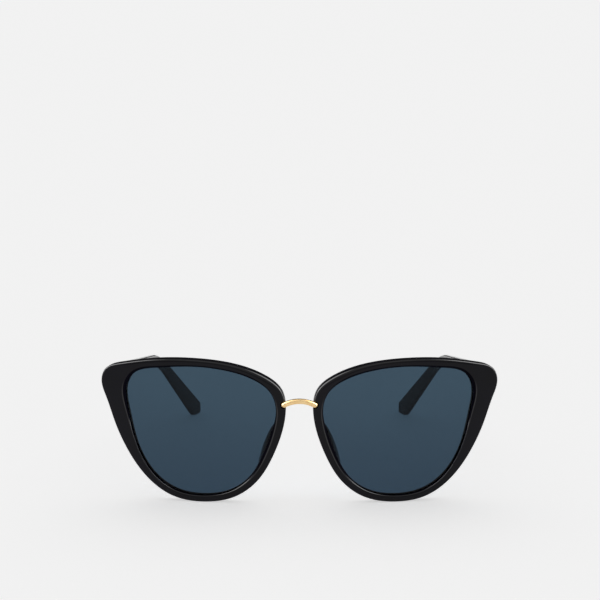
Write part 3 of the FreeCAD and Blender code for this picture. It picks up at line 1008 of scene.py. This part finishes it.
@dataclass
class NosePad:
    """One nose pad: a flattened oval fin seated on the back of the rim."""

    half_thickness: float = 1.5 * MM  # from nose to rim
    half_depth: float = 4.6 * MM  # from front to back
    half_length: float = 10.0 * MM
    centre: Colour = (11.4 * MM, 6.0 * MM, 20.0 * MM)  # from the centre plane, the front and the floor
    lean: float = 20.0  # of its top towards the nose, in degrees
    splay: float = 16.0  # of its back edge away from the nose, in degrees
    flare: float = 0.16  # how much it widens into the rim
    flare_reach: float = 1.2 * MM  # how far behind the rim the widening fades
    bedded: float = 0.2 * MM  # how deep its seat lies in the rim's back
    rows: int = 72  # from top to bottom
    around: int = 96  # points in each row

    def build(self, side: Side, rim: Rim, sheet: FaceSheet, plastic: Material) -> None:
        """Makes and dresses one nose pad.

        The oval is a ball scaled to its three half sizes, splayed about the upright, leaned
        about the front-to-back line, and moved to its centre. What lies before the rim's
        back is brought to a level just inside it, which closes the seat.

        Args:
            side: Which side.
            rim: The rim that carries it.
            sheet: The front's sheet.
            plastic: The plastic finish.
        """
        down = np.linspace(0.0, math.pi, self.rows)[1:-1, None]
        around = round_circle(self.around)
        x = self.half_thickness * np.sin(down) * np.cos(around)
        y = self.half_depth * np.sin(down) * np.sin(around)
        z = self.half_length * np.cos(down)
        splay, lean = math.radians(-self.splay), math.radians(-self.lean)
        x, y = x * math.cos(splay) - y * math.sin(splay), x * math.sin(splay) + y * math.cos(splay)
        x, z = x * math.cos(lean) + z * math.sin(lean), -x * math.sin(lean) + z * math.cos(lean)
        y = y + sheet.front + self.centre[1]
        seat_y = sheet.back_at(x + self.centre[0], rim.depth)
        wider = self.flare * np.exp(-np.maximum(y - seat_y, 0.0) / self.flare_reach)
        x = x * (1.0 + wider) + self.centre[0]
        z = z * (1.0 + wider * 0.4) + self.centre[2]
        shell = Shell.capped(np.stack([x, np.maximum(y, seat_y - self.bedded), z], -1)).on(side)
        piece = shell.build(f"nose_pad_fin_{side.tag}")
        finish_piece(piece, FRONT_BODY, "pad_plastic", plastic, f"nose_pad_{side.tag}")


# ---------------------------------------------------------------- temples


@dataclass(frozen=True)
class Bent:
    """One side of a bent strip: a straight run, an arc, and another straight run."""

    start: Place  # (y, w) of a place on the first run
    knee: Place  # (y, w) where the two runs would cross
    end: Place  # (y, w) of a place on the second run
    radius: float  # of the arc

    def at(self, y: Array) -> Array:
        """The side's w at each y.

        The arc touches both runs at radius times the tangent of half the turn from the
        knee. Between those places w lies on the circle about the arc's centre.

        Args:
            y: Places along the temple.

        Returns:
            The w of each place.
        """
        knee_y, knee_w = self.knee
        before = math.atan2(knee_w - self.start[1], knee_y - self.start[0])
        after = math.atan2(self.end[1] - knee_w, self.end[0] - knee_y)
        reach = self.radius * math.tan(abs(after - before) / 2)
        way = math.copysign(self.radius, after - before)
        first = knee_y - reach * math.cos(before)
        middle_w = knee_w - reach * math.sin(before) + way * math.cos(before)
        off = y - first + way * math.sin(before)
        arc = middle_w - np.sign(way) * np.sqrt(np.maximum(self.radius ** 2 - off ** 2, 0.0))
        runs = [knee_w + (y - knee_y) * math.tan(slope) for slope in (before, after)]
        past = y > knee_y + reach * math.cos(after)
        return np.where(y < first, runs[0], np.where(past, runs[1], arc))


@dataclass
class Temple:
    """One temple: straight to the ear bend, then down and inwards to a broad tip.

    Lengths along Y are measured from the front's foremost line.
    """

    butt: float = 12.0 * MM  # where the centre line starts
    gap: float = 0.3 * MM  # between the butt and the rim's back
    ear: float = 96.0 * MM  # where the bend is
    tip: float = 138.5 * MM  # where the temple ends
    hinge_centre: Place = (68.9 * MM, 46.9 * MM)  # (x, z) of the centre line at the butt
    ear_centre: Place = (59.1 * MM, 34.0 * MM)  # (x, z) of the centre line at the bend
    drop: float = 38.8  # how steeply the tip falls, in degrees
    toe_in: float = 18.8  # how much the tip turns towards the head, in degrees
    half_heights: Colour = (2.6 * MM, 1.45 * MM, 3.6 * MM)  # at the butt, the bend and the tip
    half_thicknesses: Colour = (1.6 * MM, 1.15 * MM, 1.35 * MM)  # at the same places
    bend_radius: float = 42.0 * MM
    tip_rounds: Place = (1.2 * MM, 1.6 * MM)  # the tip's top corner and bottom end corner
    heel_reach: float = 2.0 * MM  # how near the ground the underside starts to level out
    heel_soft: float = 0.5 * MM  # how softly it does
    edge_round: float = 0.75 * MM  # radius of the long edges
    end_round: Place = (0.8 * MM, 1.3 * MM)  # the tip's upright corners, outer and inner
    butt_round: float = 0.25 * MM  # radius of the butt's edges
    mitred: float = 1.0 * MM  # from the centre line's start to the first row
    mitre_reach: float = 9.0 * MM  # how far along the mitre fades
    tip_reach: float = 5.0 * MM  # where the rows begin to close up towards the tip

    def sides(self, centre: Sequence[float], turn: float, halves: Colour) -> list[Bent]:
        """Both sides of the strip round a centre line.

        Each run's ends stand off the centre line by their half widths, square to the run.
        The knee is where the two runs' side lines cross.

        Args:
            centre: The centre line's w at the butt and at the bend.
            turn: How much it falls or turns in behind the bend, in degrees.
            halves: Half width at the butt, the bend and the tip.

        Returns:
            The upper or outer side, and the lower or inner one.
        """
        last = centre[1] - (self.tip - self.ear) * math.tan(math.radians(turn))
        line = np.array([(self.butt, centre[0]), (self.ear, centre[1]), (self.tip, last)])
        made = []
        for way in (1.0, -1.0):
            runs = []
            for k in (0, 1):
                dy, dw = (line[k + 1] - line[k]) / np.linalg.norm(line[k + 1] - line[k])
                runs.append([line[e] + np.array([-dw, dy]) * halves[e] * way for e in (k, k + 1)])
            (a, b), (c, d) = runs
            first, second = (b[1] - a[1]) / (b[0] - a[0]), (d[1] - c[1]) / (d[0] - c[0])
            y = (c[1] - second * c[0] - a[1] + first * a[0]) / (first - second)
            made.append(Bent(tuple(a), (y, a[1] + first * (y - a[0])), tuple(d), self.bend_radius))
        return made

    def limits(self, y: Array) -> list[Array]:
        """The section's top, bottom, outer and inner limits at each y, with the end's rounds.

        At each end round a limit draws in by radius less the circle's height there.

        Args:
            y: Places along the temple, from the front's foremost line.

        Returns:
            Top and bottom heights, and outer and inner distances from the centre plane.
        """
        across = (self.hinge_centre[0], self.ear_centre[0])
        upright = (self.hinge_centre[1], self.ear_centre[1])
        strips = self.sides(upright, self.drop, self.half_heights)
        strips += self.sides(across, self.toe_in, self.half_thicknesses)
        limits = [strip.at(y) for strip in strips]
        low = limits[1]
        soft = 0.5 * (low + np.sqrt(low ** 2 + self.heel_soft ** 2))
        limits[1] = np.where(np.abs(low) < self.heel_reach, soft, np.maximum(low, 0.0))
        for k, radius in enumerate(self.tip_rounds + self.end_round):
            into = np.clip((y - (self.tip - radius)) / radius, 0.0, 1.0)
            drawn = radius * (1.0 - np.sqrt(np.maximum(1.0 - into ** 2, 0.0)))
            limits[k] = limits[k] + (drawn if k % 2 else -drawn)
        return limits

    def shell(self, rim: Rim, sheet: FaceSheet) -> Shell:
        """The temple's surface: a rounded rectangle carried along Y.

        At each Y the rectangle fills the four limits, with corners of the edge radius. The
        first rows follow the rim's back instead of a level Y, which mitres the butt. The
        mitre depends on x, which depends on it, so it is worked out in three rounds.

        Args:
            rim: The rim that the butt meets.
            sheet: The front's sheet.

        Returns:
            The closed surface.
        """
        start = self.butt + self.mitred
        close = np.array([0.0, 0.03, 0.08, 0.15, 0.25, 0.5, 1.0, 2.0, 4.0, 7.0]) * MM
        body = np.linspace(start + 10 * MM, self.tip - self.tip_reach, 230)
        end = self.tip - self.tip_reach * (1.0 - np.sin(np.linspace(0.0, QUARTER, 40)[1:]))
        level = np.concatenate([start + close, body, end])[:, None]
        corner = np.linspace(0.0, QUARTER, 9)
        turn = np.concatenate([corner, corner[::-1]] * 2)
        signs = np.repeat([(1.0, 1.0), (-1.0, 1.0), (-1.0, -1.0), (1.0, -1.0)], len(corner), axis=0)
        fade = 1.0 - ease((level - start) / self.mitre_reach)
        butt = self.butt_round - np.minimum(level - level[0], self.butt_round)
        pull = self.butt_round - np.sqrt(np.maximum(self.butt_round ** 2 - butt ** 2, 0.0))
        x = np.full((len(level), len(turn)), self.hinge_centre[0])
        for _ in range(3):
            mitre = sheet.back_at(x, rim.depth + self.gap) - sheet.front
            y = level + (mitre - start) * fade
            top, bottom, outer, inner = self.limits(y)
            small = 0.49 * np.minimum(top - bottom, outer - inner)
            radius = np.maximum(np.minimum(self.edge_round, small), 1e-5 * MM)
            half_x = 0.5 * (outer - inner) - pull - radius * (1.0 - np.cos(turn))
            half_z = 0.5 * (top - bottom) - pull - radius * (1.0 - np.sin(turn))
            x = 0.5 * (outer + inner) + signs[:, 0] * half_x
            z = 0.5 * (top + bottom) + signs[:, 1] * half_z
        return Shell.capped(np.stack([x, y + sheet.front, z], -1), np.sin(2.0 * turn))

    def build(self, side: Side, rim: Rim, sheet: FaceSheet, plastic: Material) -> None:
        """Makes and dresses one temple."""
        piece = self.shell(rim, sheet).on(side).build(f"temple_arm_{side.tag}")
        finish_piece(piece, f"temple_{side.tag}", "temple_plastic", plastic, f"temple_{side.tag}")


@dataclass
class CarriedOver:
    """Small metal pieces whose modelled shape stays, and the better finish that they get."""

    nodes: tuple[str, ...]  # the CAD nodes' names, less the side's ending
    finish: Material

    def dress(self, side: Side) -> None:
        """Gives one side's pieces their finish.

        Args:
            side: Which side.
        """
        for name in self.nodes:
            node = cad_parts[f"{name}_{side.tag}"]
            for slot in node.material_slots:
                slot.material = self.finish
            log.info("%s: finish %s", node.name, self.finish.name)


# ---------------------------------------------------------------- studio


@dataclass(frozen=True)
class Window:
    """A round soft light far away. Its angles are in degrees."""

    turn: float  # where its middle stands, round from +X towards +Y
    height: float  # elevation of its middle
    full: float  # angular radius inside which it has its whole radiance
    gone: float  # angular radius at which it has faded out
    radiance: float

    @property
    def middle(self) -> Colour:
        """The unit direction of its middle."""
        height, turn = math.radians(self.height), math.radians(self.turn)
        return math.cos(height) * math.cos(turn), math.cos(height) * math.sin(turn), math.sin(height)

    @property
    def span(self) -> Place:
        """Cosines of the angles where it has faded out and where it is full."""
        return math.cos(math.radians(self.gone)), math.cos(math.radians(self.full))

    def seen(self, directions: Array) -> Array:
        """Its radiance in given unit directions."""
        gone, full = self.span
        return self.radiance * ease((directions @ np.array(self.middle) - gone) / (full - gone))

    def node(self, g: Graph, way: Socket) -> Value:
        """The same radiance as nodes."""
        near = g.value("VectorMath", {0: way, 1: self.middle}, "Value", operation="DOT_PRODUCT")
        return near.remapped(*self.span, 0.0, self.radiance)


@dataclass
class Studio:
    """A pale lit floor under a light tent, and the camera. Radiances are before scaling."""

    floor_light: float = 0.887  # radiance that the open floor shows
    walls: float = 0.15  # radiance of the tent's walls
    roof: Window = Window(90.0, 68.0, 15.0, 62.0, 1.0)  # the soft light that lights matt surfaces
    dark: float = 0.04  # radiance of the walls in reflections
    shown: tuple[Window, ...] = (  # the lights that show as reflections
        Window(-90.0, 48.0, 30.0, 82.0, 0.62),
        Window(-7.0, 46.0, 14.0, 28.0, 6.0),
        Window(187.0, 46.0, 14.0, 28.0, 6.0),
        Window(-9.0, 16.0, 12.0, 22.0, 6.0),
        Window(189.0, 16.0, 12.0, 22.0, 6.0),
    )
    eye: Colour = (0.2 * MM, 650.0 * MM, 197.0 * MM)  # camera: aside, before the front, height
    pitch: float = 10.54  # how far the camera looks down, in degrees
    lens: float = 110.36  # focal length on a 36 mm sensor
    floor_reach: float = 12.0  # from the middle to the sheet's edges

    def scale(self, albedo: float, glow: float) -> float:
        """What the tent is multiplied by so that the open floor has its radiance.

        The floor's radiance is its glow, plus its albedo over pi times the integral over
        the upper half of radiance times the cosine from the upright.

        Args:
            albedo: The floor's reflectance.
            glow: The floor's own radiance.

        Returns:
            The factor.
        """
        heights = (np.arange(400) + 0.5) / 400
        turns = (np.arange(800) + 0.5) / 800 * FULL_TURN
        z, a = np.meshgrid(heights, turns, indexing="ij")
        level = np.sqrt(1.0 - z * z)
        directions = np.stack([level * np.cos(a), level * np.sin(a), z], -1)
        falling = ((self.walls + self.roof.seen(directions)) * z).mean() * FULL_TURN
        return (self.floor_light - glow) * math.pi / (albedo * falling)

    def build_world(self, albedo: float, glow: float) -> None:
        """Writes the tent into the world's nodes.

        The camera sees a plain pale backdrop. Reflections see the lights that are there for
        them, and matt surfaces are lit by the roof and the walls.

        Args:
            albedo: The floor's reflectance.
            glow: The floor's own radiance.
        """
        world = bpy.data.worlds.new("light_tent")
        bpy.context.scene.world = world
        world.use_nodes = True
        g = Graph(world.node_tree)
        way = g.node("TexCoord").outputs["Generated"]
        path = g.node("LightPath").outputs
        matt = (self.walls + self.roof.node(g, way)) * self.scale(albedo, glow)
        mirrored = sum((window.node(g, way) for window in self.shown), self.dark)
        light = matt + (mirrored - matt) * Value(g, path["Is Glossy Ray"])
        strengths = (light, self.floor_light)
        tent, plain = (g.node("Background", {"Color": WHITE, "Strength": s}).outputs[0] for s in strengths)
        g.node("OutputWorld", {"Surface": g.mix_shader(path["Is Camera Ray"], tent, plain)})

    def build_floor(self, level: float, paper: Material) -> None:
        """Lays the floor: one square sheet at the level that the sunglasses stand on.

        Args:
            level: Height of the sheet.
            paper: Its finish.
        """
        grid = np.linspace(-self.floor_reach, self.floor_reach, 9)
        y, x = np.meshgrid(grid, grid, indexing="ij")
        points = np.stack([x, y, np.full_like(x, level)], -1).reshape(-1, 3)
        mesh = bpy.data.meshes.new("floor")
        mesh.from_pydata(points.tolist(), [], lattice(9, 9, False, False).tolist())
        mesh.materials.append(paper)
        floor = bpy.data.objects.new("floor", mesh)
        bpy.context.scene.collection.objects.link(floor)

    def build_camera(self, sheet: FaceSheet) -> None:
        """Sets the camera before and above the sunglasses, turned to face them squarely.

        Args:
            sheet: The front's sheet.
        """
        data = bpy.data.cameras.new("camera")
        data.sensor_width = 36.0
        data.lens = self.lens
        data.clip_start = 0.01
        data.clip_end = 100.0
        camera = bpy.data.objects.new("camera", data)
        camera.location = (self.eye[0], sheet.front - self.eye[1], self.eye[2])
        camera.rotation_euler = (math.radians(90.0 - self.pitch), 0.0, 0.0)
        bpy.context.scene.collection.objects.link(camera)
        bpy.context.scene.camera = camera


def main() -> None:
    """Builds the sunglasses and the studio, and dresses every piece."""
    logging.basicConfig(level=logging.INFO, format="%(name)s: %(message)s")
    bridge = BridgeWire()
    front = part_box("bridge")[0].y + bridge.radius - bridge.stand_off
    sheet = FaceSheet(radius=300.0 * MM, front=front)
    studio = Studio()
    studio.build_camera(sheet)
    bpy.context.scene.view_settings.view_transform = "Standard"

    black = PolishedPlastic("black_acetate").build()
    pad_black = PolishedPlastic("pad_black", smooth=0.22, peel=1.2 * MM).build()
    # a barely glossy finish that keeps the band round each lens opening darker than the face
    cut = PolishedPlastic("black_matt_band", gloss=0.03, smooth=0.45, peel=0.6 * MM).build()
    tint = TintedLens("lens_blue_grey").build()
    gold = DrawnMetal("gold_plate", (0.93, 0.67, 0.34), (0.86, 0.58, 0.26), 0.34).build()
    upright = (1.0, 1.0, 0.06)
    steel = DrawnMetal("hinge_brushed", (0.62, 0.61, 0.59), (0.45, 0.44, 0.42), 0.26, upright).build()
    screw = DrawnMetal("screw_turned", (0.70, 0.69, 0.68), (0.50, 0.49, 0.48), 0.20).build()
    core = DrawnMetal("core_drawn", (0.55, 0.55, 0.55), (0.42, 0.42, 0.42), 0.30, (1.0, 0.05, 1.0)).build()
    metals = (
        CarriedOver(("hinge_front_leaf", "hinge_temple_leaf"), steel),
        CarriedOver(("hinge_screw", "hinge_front_leaf_screws", "hinge_temple_leaf_screws"), screw),
        CarriedOver(("temple_core",), core),
    )

    rim = Rim()
    bridge.build(sheet, gold)
    for side in Side:
        rim.build(side, sheet, bridge, black, cut)
        Lens().build(side, rim, sheet, tint)
        NosePad().build(side, rim, sheet, pad_black)
        Temple().build(side, rim, sheet, black)
        for metal in metals:
            metal.dress(side)
    paper = PaperFloor("light_table")
    studio.build_floor(0.0, paper.build())
    studio.build_world(paper.colour[0], paper.glow)


if __name__ == "__main__":
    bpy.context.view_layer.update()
    main()
